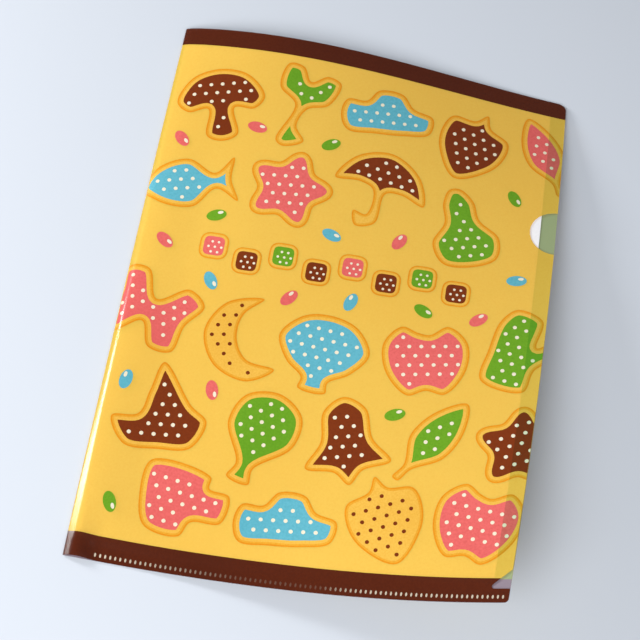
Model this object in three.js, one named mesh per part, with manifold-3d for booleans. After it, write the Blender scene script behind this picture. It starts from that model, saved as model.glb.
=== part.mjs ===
// A4 clear file folder with one sheet of paper in it, lying bent on a table.
// One printed polypropylene film is folded along its left edge and welded by a row of dots along its
// bottom edge. The front sheet has a thumb notch and a relief notch at its open side.
// Millimetres, +Z up, the front facing up, the top edge towards +Y, the fold at -X.
// The origin is at the middle of the footprint, on the table.

import * as THREE from 'three';
import { mergeVertices } from 'three/addons/utils/BufferGeometryUtils.js';
import Module from 'manifold-3d';

const wasm = await Module();
wasm.setup();

// Paper
const PAPER_WIDTH = 210;
const PAPER_HEIGHT = 297;
const PAPER_THICKNESS = 0.1;
const PAPER_CLEARANCE = 0.3;
const PAPER_FOLD_GAP = 1;
const PAPER_WELD_GAP = 1;

// Folder, larger than the paper by a margin
const WIDTH_MARGIN = 10;
const HEIGHT_MARGIN = 13;
const WIDTH = PAPER_WIDTH + WIDTH_MARGIN;
const HEIGHT = PAPER_HEIGHT + HEIGHT_MARGIN;
const FILM = 0.2;
const TOP_CORNER_RADIUS = 4.5;
const BOTTOM_CORNER_RADIUS = 3;

// Notches in the front sheet, the relief notch measured up from the bottom edge
const THUMB_RADIUS = 14;
const THUMB_FROM_TOP = 92;
const THUMB_HEIGHT = HEIGHT - THUMB_FROM_TOP;
const RELIEF_DEPTH = 9;
const RELIEF_BOTTOM = 7;
const RELIEF_TOP = 17;

// Weld dots
const DOT_PITCH = 2.49;
const DOT_WIDTH = 1;
const DOT_LENGTH = 2;
const DOT_CENTRE = 2.8;
const DOT_FOLD_MARGIN = 15;
const DOT_OPEN_MARGIN = 2.8;
const WELD_GAP = 0.1;
const WELD_STRIP = 4.5;
const WELD_SLOPE = 4;

// Print
const INK = 0.1;
const INK_GAP = 0.1;
const TOP_BAND = 10.8;
const BOTTOM_BAND = 12.2;

// Bend of the lying folder
const TOP_BOW = 12;
const CORNER_LIFT = 52;
const FLAT_LENGTH = 28;
const LIFT_POWER = 1.8;

// Steps of the bent sheets and of the fold's round section
const CELL_U = 16;
const CELL_V = 32;
const FOLD_STEPS = 6;
const ARC_STEPS = 8;
const BEND_STEP = 2;
const NORMAL_STEP = 0.5;

const POCKET = PAPER_THICKNESS + 2 * PAPER_CLEARANCE;
const THICKNESS = POCKET + 2 * FILM;
const FOLD_RADIUS = THICKNESS / 2;
const CUT_REACH = 4;

// Height of the top edge and of the bottom edge over the table, at a distance u from the fold

function topEdgeHeight(u) {
  const t = u / WIDTH;
  return TOP_BOW * 27 / 4 * t * (1 - t) ** 2;
}

function bottomEdgeHeight(u) {
  const t = Math.max(0, u - FLAT_LENGTH) / (WIDTH - FLAT_LENGTH);
  return CORNER_LIFT * t ** LIFT_POWER;
}

// The sheet is straight from its bottom edge to its top edge, so its height is a blend of the two.
function sheetHeight(u, v) {
  const share = v / HEIGHT;
  return share * topEdgeHeight(u) + (1 - share) * bottomEdgeHeight(u);
}

// Distance along the table that a length u of film covers, measured from the sheet's middle
function runAlongTable(u, v) {
  const start = WIDTH / 2;
  const steps = Math.max(1, Math.ceil(Math.abs(u - start) / BEND_STEP));
  const step = (u - start) / steps;
  let run = 0;
  for (let i = 0; i < steps; i += 1) {
    const here = start + i * step;
    const rise = sheetHeight(here + step, v) - sheetHeight(here, v);
    run += Math.sign(step) * Math.sqrt(step * step - rise * rise);
  }
  return run;
}

function pointOnSheet(u, v) {
  const rise = topEdgeHeight(u) - bottomEdgeHeight(u);
  const shrink = Math.sqrt(1 - (rise / HEIGHT) ** 2);
  return new THREE.Vector3(runAlongTable(u, v), (v - HEIGHT / 2) * shrink, sheetHeight(u, v));
}

// How far the pocket is pressed together: 1 over the weld, 0 in the pocket
function weldShare(v) {
  return THREE.MathUtils.clamp((WELD_STRIP + WELD_SLOPE - v) / WELD_SLOPE, 0, 1);
}

// Bends a point of the flat folder: u from the fold, v up from the bottom edge, w up from the back face.
function bend(u, v, w) {
  const pressed = THREE.MathUtils.clamp((w - FILM) / POCKET, 0, 1) * (POCKET - WELD_GAP) * weldShare(v);
  const alongU = pointOnSheet(u + NORMAL_STEP, v).sub(pointOnSheet(u - NORMAL_STEP, v));
  const alongV = pointOnSheet(u, v + NORMAL_STEP).sub(pointOnSheet(u, v - NORMAL_STEP));
  const normal = alongU.cross(alongV).normalize();
  return pointOnSheet(u, v).addScaledVector(normal, w - pressed);
}

function steps(from, to, size) {
  const count = Math.max(1, Math.round((to - from) / size));
  return Array.from({ length: count + 1 }, (_, i) => from + (to - from) * i / count);
}

const STATIONS_V = [
  ...steps(0, WELD_STRIP, CELL_V),
  ...steps(WELD_STRIP + WELD_SLOPE, HEIGHT, CELL_V),
];
const STATIONS_U = steps(FOLD_RADIUS, WIDTH, CELL_U);

// Closed solid of a strip's section, swept along v. The section's two sides are lists of [u, w] points
// that lie opposite each other, the first side to the right of its direction seen from the bottom edge.
// Both faces of a layer are split along the same diagonals, so that they stay parallel.
function sweptSolid([side, opposite], stationsV) {
  const section = [...side, ...opposite.slice().reverse()];
  const count = section.length;
  const positions = [];
  const index = [];
  for (const v of stationsV) {
    for (const [u, w] of section) {
      positions.push(...bend(u, v, w).toArray());
    }
  }
  for (let j = 0; j + 1 < stationsV.length; j += 1) {
    for (let i = 0; i < count; i += 1) {
      const a = j * count + i;
      const next = (i + 1) % count;
      const b = j * count + next;
      if (section[next][0] >= section[i][0]) {
        index.push(a, b + count, b, a, a + count, b + count);
      } else {
        index.push(a, a + count, b, b, a + count, b + count);
      }
    }
  }
  const last = (stationsV.length - 1) * count;
  for (let i = 0; i + 1 < side.length; i += 1) {
    const across = count - 1 - i;
    index.push(i, i + 1, across - 1, i, across - 1, across);
    index.push(last + i, last + across - 1, last + i + 1, last + i, last + across, last + across - 1);
  }
  return toSolid(positions, index);
}

function toSolid(positions, index) {
  const geometry = new THREE.BufferGeometry();
  geometry.setAttribute('position', new THREE.Float32BufferAttribute(positions, 3));
  geometry.setIndex(index);
  return solidOf(geometry);
}

function solidOf(geometry) {
  const bare = geometry.clone();
  bare.deleteAttribute('normal');
  bare.deleteAttribute('uv');
  const merged = mergeVertices(bare, 1e-4);
  return new wasm.Manifold(new wasm.Mesh({
    numProp: 3,
    vertProperties: new Float32Array(merged.attributes.position.array),
    triVerts: new Uint32Array(merged.index.array),
  }));
}

// Solid over an outline of Vector2 points in the flat folder, from one height w to another, then bent
function bentPrism(outline, from, to) {
  const shape = new THREE.Shape(outline);
  const geometry = new THREE.ExtrudeGeometry(shape, { depth: to - from, bevelEnabled: false });
  const position = geometry.attributes.position;
  for (let i = 0; i < position.count; i += 1) {
    const point = bend(position.getX(i), position.getY(i), from + position.getZ(i));
    position.setXYZ(i, point.x, point.y, point.z);
  }
  return solidOf(geometry);
}

function rectangle(u0, v0, u1, v1) {
  return [[u0, v0], [u1, v0], [u1, v1], [u0, v1]].map(([u, v]) => new THREE.Vector2(u, v));
}

// Section of a flat layer that has a point at each station
function layerSection(stationsU, from, to) {
  return [stationsU.map((u) => [u, from]), stationsU.map((u) => [u, to])];
}

// One side of the folded film's U-shaped section: along the front, round the fold and along the back
function foldedSide(radius) {
  const arc = Array.from({ length: FOLD_STEPS - 1 }, (_, i) => {
    const angle = Math.PI * (0.5 + (i + 1) / FOLD_STEPS);
    return [FOLD_RADIUS + radius * Math.cos(angle), FOLD_RADIUS + radius * Math.sin(angle)];
  });
  return [
    ...STATIONS_U.slice().reverse().map((u) => [u, FOLD_RADIUS + radius]),
    ...arc,
    ...STATIONS_U.map((u) => [u, FOLD_RADIUS - radius]),
  ];
}

function pointOnArc(centreU, centreV, radius, angle) {
  return new THREE.Vector2(centreU + radius * Math.cos(angle), centreV + radius * Math.sin(angle));
}

// What a rounded corner takes off: the corner's square less its quarter circle
function cornerCut(radius, top) {
  const side = top ? 1 : -1;
  const cornerV = top ? HEIGHT : 0;
  const centreU = WIDTH - radius;
  const centreV = cornerV - side * radius;
  const outline = [];
  for (let i = 0; i <= ARC_STEPS; i += 1) {
    const angle = Math.PI / 2 * i / ARC_STEPS;
    outline.push(pointOnArc(centreU, centreV, radius, side * angle));
  }
  outline.push(new THREE.Vector2(centreU, cornerV + side * CUT_REACH));
  outline.push(new THREE.Vector2(WIDTH + CUT_REACH, cornerV + side * CUT_REACH));
  outline.push(new THREE.Vector2(WIDTH + CUT_REACH, centreV));
  return bentPrism(outline, -CUT_REACH, THICKNESS + CUT_REACH);
}

// Half circle about the front sheet's open edge, with a short reach past the edge
function thumbNotch() {
  const outline = [];
  for (let i = 0; i <= 2 * ARC_STEPS; i += 1) {
    const angle = Math.PI / 2 * (1 + i / ARC_STEPS);
    outline.push(pointOnArc(WIDTH, THUMB_HEIGHT, THUMB_RADIUS, angle));
  }
  outline.push(new THREE.Vector2(WIDTH + CUT_REACH, THUMB_HEIGHT - THUMB_RADIUS));
  outline.push(new THREE.Vector2(WIDTH + CUT_REACH, THUMB_HEIGHT + THUMB_RADIUS));
  return bentPrism(outline, FILM + POCKET / 2, THICKNESS + CUT_REACH);
}

function reliefNotch() {
  const outline = [
    new THREE.Vector2(WIDTH - RELIEF_DEPTH, RELIEF_BOTTOM),
    new THREE.Vector2(WIDTH + CUT_REACH, RELIEF_BOTTOM),
    new THREE.Vector2(WIDTH + CUT_REACH, RELIEF_TOP),
    new THREE.Vector2(WIDTH, RELIEF_TOP),
  ];
  return bentPrism(outline, FILM + POCKET / 2, THICKNESS + CUT_REACH);
}

const corners = [cornerCut(TOP_CORNER_RADIUS, true), cornerCut(BOTTOM_CORNER_RADIUS, false)];
const notches = [thumbNotch(), reliefNotch()];

function folderSolid() {
  let solid = sweptSolid([foldedSide(FOLD_RADIUS), foldedSide(FOLD_RADIUS - FILM)], STATIONS_V);
  const span = WIDTH - DOT_FOLD_MARGIN - DOT_OPEN_MARGIN;
  const count = Math.floor(span / DOT_PITCH) + 1;
  const dots = [];
  for (let i = 0; i < count; i += 1) {
    const u = WIDTH - DOT_OPEN_MARGIN - i * DOT_PITCH;
    const outline = rectangle(
      u - DOT_WIDTH / 2, DOT_CENTRE - DOT_LENGTH / 2, u + DOT_WIDTH / 2, DOT_CENTRE + DOT_LENGTH / 2);
    dots.push(bentPrism(outline, FILM / 2, FILM + POCKET + FILM / 2));
  }
  solid = wasm.Manifold.union([solid, ...dots]);
  return wasm.Manifold.difference([solid, ...corners, ...notches]);
}

function paperSolid() {
  const left = FOLD_RADIUS + PAPER_FOLD_GAP;
  const bottom = WELD_STRIP + WELD_SLOPE + PAPER_WELD_GAP;
  const from = FILM + PAPER_CLEARANCE;
  const section = layerSection(steps(left, left + PAPER_WIDTH, CELL_U), from, from + PAPER_THICKNESS);
  return sweptSolid(section, steps(bottom, bottom + PAPER_HEIGHT, CELL_V));
}

// The ink lies on the front sheet, so its layer bends with the same steps.
const inkFrom = THICKNESS + INK_GAP;
const inkLayer = wasm.Manifold.difference([
  sweptSolid(layerSection(STATIONS_U, inkFrom, inkFrom + INK), STATIONS_V), ...corners, ...notches,
]);

function inkSolid(outline) {
  return inkLayer.intersect(bentPrism(outline, inkFrom - CUT_REACH, inkFrom + INK + CUT_REACH));
}

// Band across the whole front, between two heights from the bottom edge
function bandSolid(from, to) {
  const ends = [-CUT_REACH, ...STATIONS_U.slice(1, -1), WIDTH + CUT_REACH];
  const section = layerSection(ends, inkFrom - CUT_REACH, inkFrom + INK + CUT_REACH);
  return inkLayer.intersect(sweptSolid(section, [from, to]));
}

// The artwork is drawn on a grid of this many steps across the front and up it, and grows with the folder.
const ARTWORK_STEPS_U = 220;
const ARTWORK_STEPS_V = 310;

// Motif outlines in steps of the artwork, about their middle

const OUTLINE_STEPS = 16;
const MOTIF_SCALE = 1.2;

function roundOutline({ radius, ripple, lobes, count }) {
  return Array.from({ length: count }, (_, i) => {
    const angle = 2 * Math.PI * i / count;
    const reach = radius * (1 + ripple * Math.cos(lobes * angle));
    return new THREE.Vector2(reach * Math.cos(angle), reach * Math.sin(angle));
  });
}

function smoothOutline(points) {
  const knots = points.map(([x, y]) => new THREE.Vector3(x, y, 0));
  const curve = new THREE.CatmullRomCurve3(knots, true, 'centripetal');
  const places = curve.getPoints(OUTLINE_STEPS).slice(0, -1);
  return places.map((place) => new THREE.Vector2(place.x, place.y).multiplyScalar(MOTIF_SCALE));
}

const MOTIFS = {
  flower: () => roundOutline({ radius: 20.4, ripple: 0.17, lobes: 5, count: 20 }),
  leaf: () => smoothOutline([
    [0, 22], [8, 10], [9, -4], [2, -16], [1, -23], [-2, -23], [-2, -16], [-9, -4], [-8, 10]]),
  moon: () => smoothOutline([
    [8, 18], [-8, 17], [-18, 4], [-14, -12], [0, -20], [12, -15], [0, -10], [-4, 0], [-1, 11]]),
  cloud: () => smoothOutline([
    [20, -7], [22, 2], [13, 6], [8, 13], [-3, 14], [-9, 8], [-18, 8], [-21, 0], [-18, -8], [-5, -9], [8, -9]]),
  apple: () => smoothOutline([
    [2, 12], [10, 16], [18, 8], [17, -6], [8, -17], [0, -15], [-8, -17], [-17, -6], [-18, 8], [-10, 16], [-3, 13]]),
  pear: () => smoothOutline([
    [2, 19], [7, 12], [8, 2], [15, -8], [12, -19], [0, -22], [-12, -19], [-15, -8], [-8, 2], [-7, 12], [-3, 19]]),
  mushroom: () => smoothOutline([
    [0, 19], [13, 15], [20, 3], [15, -3], [6, -2], [7, -16], [0, -19], [-7, -16], [-6, -2], [-15, -3], [-20, 3],
    [-13, 15]]),
  fish: () => smoothOutline([
    [-22, 0], [-14, 9], [0, 12], [11, 4], [20, 11], [18, 0], [20, -11], [11, -4], [0, -12], [-14, -9]]),
  butterfly: () => smoothOutline([
    [0, 6], [10, 17], [20, 13], [17, 1], [18, -12], [8, -15], [0, -6], [-8, -15], [-18, -12], [-17, 1], [-20, 13],
    [-10, 17]]),
  tulip: () => smoothOutline([
    [0, 14], [6, 20], [13, 19], [12, 6], [4, 0], [3, -10], [9, -16], [1, -22], [-3, -20], [-2, 0], [-12, 6],
    [-13, 19], [-6, 20]]),
  acorn: () => smoothOutline([
    [0, 20], [4, 14], [14, 11], [16, 3], [13, -8], [0, -20], [-13, -8], [-16, 3], [-14, 11], [-4, 14]]),
  umbrella: () => smoothOutline([
    [0, 21], [15, 14], [21, 0], [10, 2], [3, 0], [3, -16], [-5, -20], [-8, -13], [-2, -13], [-3, 0], [-10, 2],
    [-21, 0], [-15, 14]]),
  mitten: () => smoothOutline([
    [-6, 20], [6, 18], [8, 4], [14, 9], [18, 3], [11, -7], [10, -19], [-9, -19], [-11, -4], [-11, 12]]),
  boat: () => smoothOutline([
    [0, 21], [13, 2], [20, -5], [14, -17], [0, -18], [-14, -17], [-20, -5], [-9, -3], [-5, 8]]),
  bell: () => smoothOutline([
    [0, 20], [9, 14], [11, 0], [18, -11], [6, -14], [0, -20], [-6, -14], [-18, -11], [-11, 0], [-9, 14]]),
  cup: () => smoothOutline([
    [-15, 12], [11, 12], [12, 7], [21, 6], [21, -6], [9, -9], [6, -16], [-9, -16], [-15, -4]]),
  balloon: () => smoothOutline([
    [0, 21], [13, 15], [15, 1], [4, -14], [5, -21], [-5, -21], [-4, -14], [-15, 1], [-13, 15]]),
  shell: () => smoothOutline([
    [0, 18], [12, 15], [20, 4], [14, -7], [6, -13], [6, -18], [-6, -18], [-6, -13], [-14, -7], [-20, 4], [-12, 15]]),
  tile: () => roundOutline({ radius: 8.2, ripple: -0.07, lobes: 4, count: 8 }),
};

const CHOCOLATE = 0x6e3214;
const PINK = 0xf0697a;
const GREEN = 0x69af2d;
const BLUE = 0x5fbed2;

// Motif, place from the fold and from the bottom edge in steps of the artwork, turn in degrees, colour
const LAYOUT = [
  ['mushroom', 30, 262, 12, CHOCOLATE],
  ['tulip', 72, 268, -14, GREEN],
  ['cloud', 120, 272, 8, BLUE],
  ['acorn', 169, 266, -18, CHOCOLATE],
  ['leaf', 210, 270, 24, PINK],
  ['fish', 23, 212, 14, BLUE],
  ['flower', 75, 217, 6, PINK],
  ['umbrella', 123, 225, -10, CHOCOLATE],
  ['pear', 170, 214, 16, GREEN],
  ['butterfly', 16, 135, -20, PINK],
  ['moon', 68, 128, 10, CHOCOLATE],
  ['shell', 108, 126, -6, BLUE],
  ['apple', 161, 130, 8, PINK],
  ['mitten', 206, 141, -14, GREEN],
  ['boat', 32, 83, 6, CHOCOLATE],
  ['balloon', 84, 76, -16, GREEN],
  ['bell', 128, 80, 12, CHOCOLATE],
  ['leaf', 171, 85, -34, GREEN],
  ['flower', 215, 84, 20, CHOCOLATE],
  ['cup', 49, 39, -8, PINK],
  ['cloud', 104, 32, 4, BLUE],
  ['acorn', 154, 40, 22, CHOCOLATE],
  ['apple', 199, 41, -12, PINK],
];

// A row of small tiles across the middle, every other one lower, in steps of the artwork
const TILE_ROW = { count: 8, pitch: 18.5, start: 42, level: 174, rise: 3 };
const TILE_COLOURS = [PINK, CHOCOLATE, GREEN, CHOCOLATE];

function placed(outline, u, v, degrees) {
  const origin = new THREE.Vector2();
  const place = new THREE.Vector2(u, v);
  const grid = new THREE.Vector2(WIDTH / ARTWORK_STEPS_U, HEIGHT / ARTWORK_STEPS_V);
  const turn = THREE.MathUtils.degToRad(degrees);
  return outline.map((point) => point.clone().rotateAround(origin, turn).add(place).multiply(grid));
}

const folder = new THREE.Group();

function addMesh(name, solid, finish) {
  const { numProp, vertProperties, triVerts } = solid.getMesh();
  const geometry = new THREE.BufferGeometry();
  const positions = [];
  for (let i = 0; i < vertProperties.length; i += numProp) {
    positions.push(vertProperties[i], vertProperties[i + 1], vertProperties[i + 2]);
  }
  geometry.setAttribute('position', new THREE.Float32BufferAttribute(positions, 3));
  geometry.setIndex(Array.from(triVerts));
  geometry.computeVertexNormals();
  const mesh = new THREE.Mesh(geometry, new THREE.MeshStandardMaterial(finish));
  mesh.name = name;
  folder.add(mesh);
}

function addInk(name, solid, color) {
  addMesh(name, solid, { color, roughness: 0.3, metalness: 0 });
}

addMesh('folder_film', folderSolid(), { color: 0xebbe50, roughness: 0.25, metalness: 0 });
addMesh('paper_insert', paperSolid(), { color: 0xf0eef0, roughness: 0.85, metalness: 0 });

addInk('top_band', bandSolid(HEIGHT - TOP_BAND, HEIGHT + CUT_REACH), 0x4a1c0c);
addInk('bottom_band', bandSolid(-CUT_REACH, BOTTOM_BAND), 0x5a2810);

const counts = {};
for (const [motif, u, v, degrees, color] of LAYOUT) {
  counts[motif] = (counts[motif] ?? 0) + 1;
  addInk(`print_${motif}_${counts[motif]}`, inkSolid(placed(MOTIFS[motif](), u, v, degrees)), color);
}

for (let i = 0; i < TILE_ROW.count; i += 1) {
  const rise = i % 2 === 0 ? TILE_ROW.rise : -TILE_ROW.rise;
  const outline = placed(MOTIFS.tile(), TILE_ROW.start + i * TILE_ROW.pitch, TILE_ROW.level + rise, 0);
  addInk(`print_tile_${i + 1}`, inkSolid(outline), TILE_COLOURS[i % TILE_COLOURS.length]);
}

// The footprint's middle is the origin.
const footprint = new THREE.Box3().setFromObject(folder);
const middle = footprint.getCenter(new THREE.Vector3());
folder.position.set(-middle.x, -middle.y, -footprint.min.z);

export default folder;
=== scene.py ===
"""Looks of a clear A4 file folder with a sheet of paper in its pocket.

The folder is one blank of polypropylene film. It is cut flat, folded, welded and bent here in the same
order as in the factory, so that the notches, the round corners and the print follow the film.
Lengths are millimetres until a mesh is placed, and metres after that.
"""

import logging
import math
from dataclasses import dataclass, field
from enum import Enum, IntEnum

import bmesh
import bpy
import numpy as np
from mathutils import Matrix, Vector


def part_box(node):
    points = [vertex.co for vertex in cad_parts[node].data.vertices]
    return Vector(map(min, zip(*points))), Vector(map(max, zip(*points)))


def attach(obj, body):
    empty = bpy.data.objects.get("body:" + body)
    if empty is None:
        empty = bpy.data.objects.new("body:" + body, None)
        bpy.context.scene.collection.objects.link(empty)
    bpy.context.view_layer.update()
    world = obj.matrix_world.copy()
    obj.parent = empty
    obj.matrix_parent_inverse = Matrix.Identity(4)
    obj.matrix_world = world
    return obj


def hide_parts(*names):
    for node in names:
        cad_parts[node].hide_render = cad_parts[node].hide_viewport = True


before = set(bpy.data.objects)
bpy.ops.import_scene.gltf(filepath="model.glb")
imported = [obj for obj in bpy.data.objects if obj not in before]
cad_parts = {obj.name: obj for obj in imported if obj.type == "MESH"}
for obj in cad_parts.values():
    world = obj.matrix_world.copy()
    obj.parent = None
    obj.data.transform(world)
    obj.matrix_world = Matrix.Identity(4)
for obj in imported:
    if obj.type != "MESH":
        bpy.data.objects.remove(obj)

LOG = logging.getLogger("folder")
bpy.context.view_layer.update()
METRE = 0.001
BODY = "root"
FLAT_MAP = "flat"
POLYPROPYLENE_IOR = 1.49

# Edges that turn more than this stay sharp.
SHARP_DEGREES = 40.0

# Sizes that several pieces share, in millimetres. Points of a cut that lie closer than TOUCH are one.
TOUCH = 1e-4
FILM = 0.2
POCKET = 0.7
PAPER_WIDTH = 210.0
PAPER_FOLD_GAP = 1.0
PAPER_EDGE = FILM + POCKET / 2 + PAPER_FOLD_GAP + PAPER_WIDTH
INK_RISE = 0.03
INK_LAYER = 0.03


# Colour and nodes


def linear(hex_colour: str) -> tuple[float, float, float, float]:
    """Turns an sRGB hex colour into linear RGBA.

    Args:
        hex_colour: Six hex digits.

    Returns:
        The linear colour with an alpha of 1.
    """
    channels = [int(hex_colour[i : i + 2], 16) / 255 for i in (0, 2, 4)]
    return (*[c / 12.92 if c <= 0.04045 else ((c + 0.055) / 1.055) ** 2.4 for c in channels], 1.0)


def add_node(tree: bpy.types.NodeTree, kind: str, settings: dict | None = None,
             **links: bpy.types.NodeSocket) -> bpy.types.Node:
    """Adds one shader node with its settings and links.

    Args:
        tree: The node tree that gets the node.
        kind: The node's class name.
        settings: Attributes of the node, values of its sockets by name or number, and a ramp's stops.
        links: An output socket for each input. An underscore stands for a space, and _0 for input 0.

    Returns:
        The new node.
    """
    node = tree.nodes.new(kind)
    for name, value in (settings or {}).items():
        if name == "stops":
            elements = node.color_ramp.elements
            for position, _ in value[1:-1]:
                elements.new(position)
            for element, (position, colour) in zip(elements, value):
                element.position, element.color = position, colour
        elif isinstance(name, int) or name in node.inputs:
            node.inputs[name].default_value = value
        else:
            setattr(node, name, value)
    for name, socket in links.items():
        key = int(name[1:]) if name[1:].isdigit() else name.replace("_", " ")
        tree.links.new(socket, node.inputs[key])
    return node


def new_material(name: str) -> tuple[bpy.types.Material, bpy.types.NodeTree]:
    """Starts a material with an empty node tree.

    Args:
        name: The material's name.

    Returns:
        The material and its tree.
    """
    material = bpy.data.materials.new(name)
    material.use_nodes = True
    material.node_tree.nodes.clear()
    return material, material.node_tree


class Ink(Enum):
    """The inks of the print, with the names of their materials."""

    YELLOW = "printed_yellow"
    BROWN = "printed_brown"
    BISCUIT = "printed_biscuit"
    CRUST = "printed_crust"
    TOAST = "printed_toast"
    CHOCOLATE = "printed_chocolate"
    PINK = "printed_pink"
    GREEN = "printed_green"
    BLUE = "printed_blue"
    CREAM = "printed_cream"


@dataclass(frozen=True)
class PrintedFilm:
    """Gravure ink behind glossy polypropylene: an even colour with a faint grain, under a clear gloss.

    The film's own waves, a few centimetres long, make its reflections wander a little.
    """

    name: str
    colour: str
    shade: str
    opacity: float = 1.0
    tint: str = "ffffff"
    # Multiplied into the colour past the paper's edge: painted shade for ink that no paper lights from
    # behind; white leaves the colour as it is.
    painted_shade_past_paper: str = "ffffff"
    paper_edge_mm: float = PAPER_EDGE
    shade_at: float = 0.12
    colour_at: float = 0.34
    roughness: float = 0.5
    gloss_roughness: float = 0.15
    grain_mm: float = 1.2
    cloud_mm: float = 70.0
    wave_mm: float = 45.0
    wave_depth_mm: float = 0.05
    ior: float = POLYPROPYLENE_IOR

    def build(self) -> bpy.types.Material:
        """Makes the material.

        Returns:
            The new material.
        """
        material, tree = new_material(self.name)
        place = add_node(tree, "ShaderNodeTexCoord").outputs["Object"]
        noises = []
        for size, detail in ((self.grain_mm, 3.0), (self.cloud_mm, 2.0), (self.wave_mm, 1.0)):
            settings = {"Scale": 1 / (size * METRE), "Detail": detail}
            noises.append(add_node(tree, "ShaderNodeTexNoise", settings, Vector=place).outputs["Fac"])
        grain, cloud, wave = noises
        blend = add_node(tree, "ShaderNodeMath", {"operation": "MULTIPLY"}, _0=grain, _1=cloud)
        stops = ((self.shade_at, linear(self.shade)), (self.colour_at, linear(self.colour)))
        colour = add_node(tree, "ShaderNodeValToRGB", {"stops": stops}, Fac=blend.outputs[0])
        bump = add_node(tree, "ShaderNodeBump", {"Strength": 1.0, "Distance": self.wave_depth_mm * METRE},
                        Height=wave)
        flat = add_node(tree, "ShaderNodeUVMap", {"uv_map": FLAT_MAP})
        along = add_node(tree, "ShaderNodeSeparateXYZ", None, Vector=flat.outputs["UV"])
        # Past the paper's edge the ink's colour is multiplied by the painted shade.
        past_paper = {"operation": "GREATER_THAN", 1: self.paper_edge_mm * METRE}
        beyond = add_node(tree, "ShaderNodeMath", past_paper, _0=along.outputs["X"])
        painted_shade_mix = add_node(tree, "ShaderNodeMix", {
            "data_type": "RGBA", "blend_type": "MULTIPLY", 7: linear(self.painted_shade_past_paper),
        }, _0=beyond.outputs[0], _6=colour.outputs["Color"])
        shader = add_node(tree, "ShaderNodeBsdfPrincipled", {
            "Roughness": self.roughness, "Specular IOR Level": 0.0, "Coat Weight": 1.0,
            "Coat Roughness": self.gloss_roughness, "Coat IOR": self.ior,
        }, Base_Color=painted_shade_mix.outputs[2], Normal=bump.outputs["Normal"], Coat_Normal=bump.outputs["Normal"])
        surface = shader.outputs[0]
        if self.opacity < 1:
            clear = add_node(tree, "ShaderNodeBsdfTransparent", {"Color": linear(self.tint)})
            mix = add_node(tree, "ShaderNodeMixShader", {0: self.opacity}, _1=clear.outputs[0], _2=surface)
            surface = mix.outputs[0]
        add_node(tree, "ShaderNodeOutputMaterial", None, Surface=surface)
        return material


@dataclass(frozen=True)
class BareFilm:
    """Unprinted polypropylene, extruded with a fine matt grain, milky where it is seen edge on."""

    name: str
    colour: str
    opacity: float
    tint: str = "f7faf2"
    roughness: float = 0.35
    grain_mm: float = 0.6
    grain_depth_mm: float = 0.01
    ior: float = POLYPROPYLENE_IOR

    def build(self) -> bpy.types.Material:
        """Makes the material.

        Returns:
            The new material.
        """
        material, tree = new_material(self.name)
        place = add_node(tree, "ShaderNodeTexCoord").outputs["Object"]
        grain = add_node(tree, "ShaderNodeTexNoise", {"Scale": 1 / (self.grain_mm * METRE), "Detail": 2.0},
                         Vector=place)
        bump = add_node(tree, "ShaderNodeBump", {"Strength": 0.6, "Distance": self.grain_depth_mm * METRE},
                        Height=grain.outputs["Fac"])
        shader = add_node(tree, "ShaderNodeBsdfPrincipled", {
            "Base Color": linear(self.colour), "Roughness": self.roughness, "IOR": self.ior,
        }, Normal=bump.outputs["Normal"])
        clear = add_node(tree, "ShaderNodeBsdfTransparent", {"Color": linear(self.tint)})
        mix = add_node(tree, "ShaderNodeMixShader", {0: self.opacity}, _1=clear.outputs[0],
                       _2=shader.outputs[0])
        add_node(tree, "ShaderNodeOutputMaterial", None, Surface=mix.outputs[0])
        return material


@dataclass(frozen=True)
class WeldMark:
    """Film whitened by a hot tooth; how strongly the white shows along the row is a painted reflection of the
    lamps.
    """

    width_mm: float
    name: str = "film_weld_dot"
    colour: str = "e0d3bb"
    roughness: float = 0.3
    ior: float = POLYPROPYLENE_IOR
    # How much of the white shows along the row, by share of the width: a painted reflection, strong near the
    # fold, faint in the middle and brighter again at the open edge.
    stops: tuple[tuple[float, float], ...] = (
        (0.08, 0.7), (0.16, 0.4), (0.28, 0.14), (0.38, 0.04), (0.58, 0.03), (0.7, 0.5), (1.0, 0.55))

    def build(self) -> bpy.types.Material:
        """Makes the material.

        Returns:
            The new material.
        """
        material, tree = new_material(self.name)
        flat = add_node(tree, "ShaderNodeUVMap", {"uv_map": FLAT_MAP})
        along = add_node(tree, "ShaderNodeSeparateXYZ", None, Vector=flat.outputs["UV"])
        share = add_node(tree, "ShaderNodeMath", {"operation": "DIVIDE", 1: self.width_mm * METRE},
                         _0=along.outputs["X"])
        stops = [(place, (white, white, white, 1.0)) for place, white in self.stops]
        painted_reflection_along_row = add_node(tree, "ShaderNodeValToRGB", {"stops": stops}, Fac=share.outputs[0])
        shader = add_node(tree, "ShaderNodeBsdfPrincipled", {
            "Base Color": linear(self.colour), "Roughness": self.roughness, "IOR": self.ior,
        })
        clear = add_node(tree, "ShaderNodeBsdfTransparent")
        mix = add_node(tree, "ShaderNodeMixShader", None, _0=painted_reflection_along_row.outputs["Color"], _1=clear.outputs[0],
                       _2=shader.outputs[0])
        add_node(tree, "ShaderNodeOutputMaterial", None, Surface=mix.outputs[0])
        return material


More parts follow.
